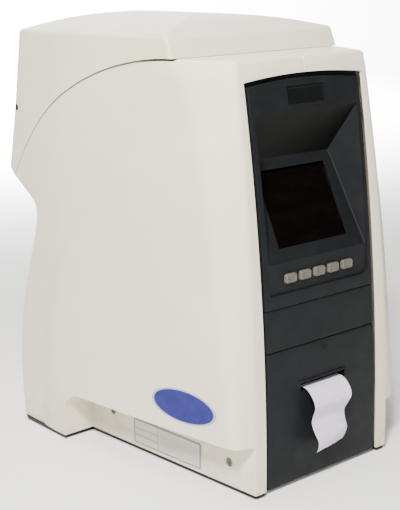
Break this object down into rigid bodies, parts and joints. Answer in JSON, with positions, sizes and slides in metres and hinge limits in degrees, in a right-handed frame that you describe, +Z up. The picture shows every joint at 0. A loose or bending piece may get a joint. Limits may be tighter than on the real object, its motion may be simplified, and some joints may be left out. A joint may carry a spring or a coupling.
{
  "type": "autorefractor",
  "caption": "Tabletop eye-measuring instrument with a sloping screen, keys, slip printer, patient window, brow pad and a three-axis optical head.",
  "frame": {"origin": "on the table under the middle of the overall box", "axes": "+Z up; +X the operator's right when facing the screen; -Y towards the operator, +Y towards the patient"},
  "size_m": [0.281, 0.3955, 0.474],
  "materials": {
    "shell": "ivory-white moulded casing, fine spark texture, satin sheen",
    "panel": "charcoal fine-textured moulding",
    "dark_plastic": "black satin plastic",
    "keys": "warm grey silicone key",
    "screen": "dark screen glass",
    "optics": "coated lens glass",
    "paper": "white thermal paper",
    "badge": "blue-violet printed badge",
    "label": "printed foil label, blank",
    "rubber": "black rubber",
    "steel": "zinc-plated sheet and turned steel",
    "alloy": "cast and machined aluminium",
    "board": "green circuit board",
    "padding": "grey soft silicone pad"
  },
  "bodies": {
    "casing": {"left_side_shell": "shell", "right_side_shell": "shell", "top_cover": "shell", "base_pan": "dark_plastic", "foot_front_left": "rubber", "foot_front_right": "rubber", "foot_rear_left": "rubber", "foot_rear_right": "rubber", "display_panel": "panel", "blank_panel": "panel", "name_plate": "dark_plastic", "display_glass": "screen", "display_module": "dark_plastic", "key_board": "board", "door_hinge_rod": "steel", "printer_frame": "dark_plastic", "print_head": "steel", "printer_motor": "dark_plastic", "chassis_bulkhead": "steel", "main_board": "board", "power_supply": "steel", "power_inlet": "dark_plastic", "switch_housing": "dark_plastic", "cross_guide": "steel", "cross_motor": "dark_plastic", "window_liner": "dark_plastic", "brow_switch": "dark_plastic", "badge": "badge", "rating_label": "label", "screw_left_front": "steel", "screw_left_rear": "steel", "screw_right_front": "steel", "screw_right_rear": "steel", "plug_left": "rubber", "plug_right": "rubber"},
    "printer_door": {"printer_door": "panel", "paper_slip": "paper"},
    "platen": {"platen_roller": "rubber"},
    "pinion": {"motor_pinion": "keys"},
    "paper_roll": {"paper_roll": "paper"},
    "key_1": {"key_1": "keys"},
    "key_2": {"key_2": "keys"},
    "key_3": {"key_3": "keys"},
    "key_4": {"key_4": "keys"},
    "key_5": {"key_5": "keys"},
    "power_rocker": {"power_rocker": "dark_plastic"},
    "brow_pad": {"brow_pad": "padding"},
    "cross_stage": {"cross_carriage": "alloy", "depth_motor": "dark_plastic"},
    "cross_screw": {"cross_screw": "steel"},
    "depth_stage": {"depth_carriage": "alloy", "lift_motor": "dark_plastic"},
    "depth_screw": {"depth_screw": "steel"},
    "lift_screw": {"lift_screw": "steel"},
    "optical_head": {"optical_bench": "alloy", "nose_barrel": "dark_plastic", "objective_lens": "optics", "ring_light": "keys", "beam_splitter": "optics", "sensor_board": "board"}
  },
  "joints": [
    {"name": "key_1_press", "type": "slide", "parent": "casing", "child": "key_1", "axis": [0, 1, 0], "range_m": [0, 0.0012], "stiffness_N_per_m": 400, "springref_m": -0.0005},
    {"name": "key_2_press", "type": "slide", "parent": "casing", "child": "key_2", "axis": [0, 1, 0], "range_m": [0, 0.0012], "stiffness_N_per_m": 400, "springref_m": -0.0005},
    {"name": "key_3_press", "type": "slide", "parent": "casing", "child": "key_3", "axis": [0, 1, 0], "range_m": [0, 0.0012], "stiffness_N_per_m": 400, "springref_m": -0.0005},
    {"name": "key_4_press", "type": "slide", "parent": "casing", "child": "key_4", "axis": [0, 1, 0], "range_m": [0, 0.0012], "stiffness_N_per_m": 400, "springref_m": -0.0005},
    {"name": "key_5_press", "type": "slide", "parent": "casing", "child": "key_5", "axis": [0, 1, 0], "range_m": [0, 0.0012], "stiffness_N_per_m": 400, "springref_m": -0.0005},
    {"name": "door_hinge", "type": "hinge", "parent": "casing", "child": "printer_door", "pos_m": [0, -0.17295, 0.0087], "axis": [1, 0, 0], "range_deg": [0, 50]},
    {"name": "platen_turn", "type": "hinge", "parent": "casing", "child": "platen", "pos_m": [0, -0.15375, 0.098], "axis": [1, 0, 0], "continuous": true},
    {"name": "pinion_turn", "type": "hinge", "parent": "casing", "child": "pinion", "pos_m": [0, -0.15375, 0.0806], "axis": [1, 0, 0], "continuous": true},
    {"name": "paper_roll_turn", "type": "hinge", "parent": "casing", "child": "paper_roll", "pos_m": [0, -0.11375, 0.046], "axis": [1, 0, 0], "continuous": true},
    {"name": "rocker_tip", "type": "hinge", "parent": "casing", "child": "power_rocker", "pos_m": [0.086, 0.18525, 0.046], "axis": [1, 0, 0], "range_deg": [-16, 0]},
    {"name": "brow_pad_press", "type": "slide", "parent": "casing", "child": "brow_pad", "axis": [0, -1, 0], "range_m": [0, 0.003], "stiffness_N_per_m": 900, "springref_m": -0.001},
    {"name": "cross_slide", "type": "slide", "parent": "casing", "child": "cross_stage", "axis": [1, 0, 0], "range_m": [-0.032, 0.032]},
    {"name": "cross_screw_turn", "type": "hinge", "parent": "casing", "child": "cross_screw", "pos_m": [0, 0.11325, 0.02], "axis": [1, 0, 0], "range_deg": [-1152.5, 1152.5]},
    {"name": "depth_slide", "type": "slide", "parent": "cross_stage", "child": "depth_stage", "axis": [0, 1, 0], "range_m": [-0.012, 0.018]},
    {"name": "depth_screw_turn", "type": "hinge", "parent": "cross_stage", "child": "depth_screw", "pos_m": [0, 0.03725, 0.0365], "axis": [0, 1, 0], "range_deg": [-432.5, 648.5]},
    {"name": "lift_slide", "type": "slide", "parent": "depth_stage", "child": "optical_head", "axis": [0, 0, 1], "range_m": [-0.014, 0.014]},
    {"name": "lift_screw_turn", "type": "hinge", "parent": "depth_stage", "child": "lift_screw", "pos_m": [0, -0.00075, 0.19], "axis": [0, 0, 1], "range_deg": [-504.5, 504.5]}
  ],
  "couplings": [
    {"joint": "pinion_turn", "follows": "platen_turn", "ratio": -2},
    {"joint": "paper_roll_turn", "follows": "platen_turn", "ratio": 0.29167},
    {"joint": "cross_screw_turn", "follows": "cross_slide", "rad_per_m": 628.32},
    {"joint": "depth_screw_turn", "follows": "depth_slide", "rad_per_m": 628.32},
    {"joint": "lift_screw_turn", "follows": "lift_slide", "rad_per_m": 628.32}
  ]
}
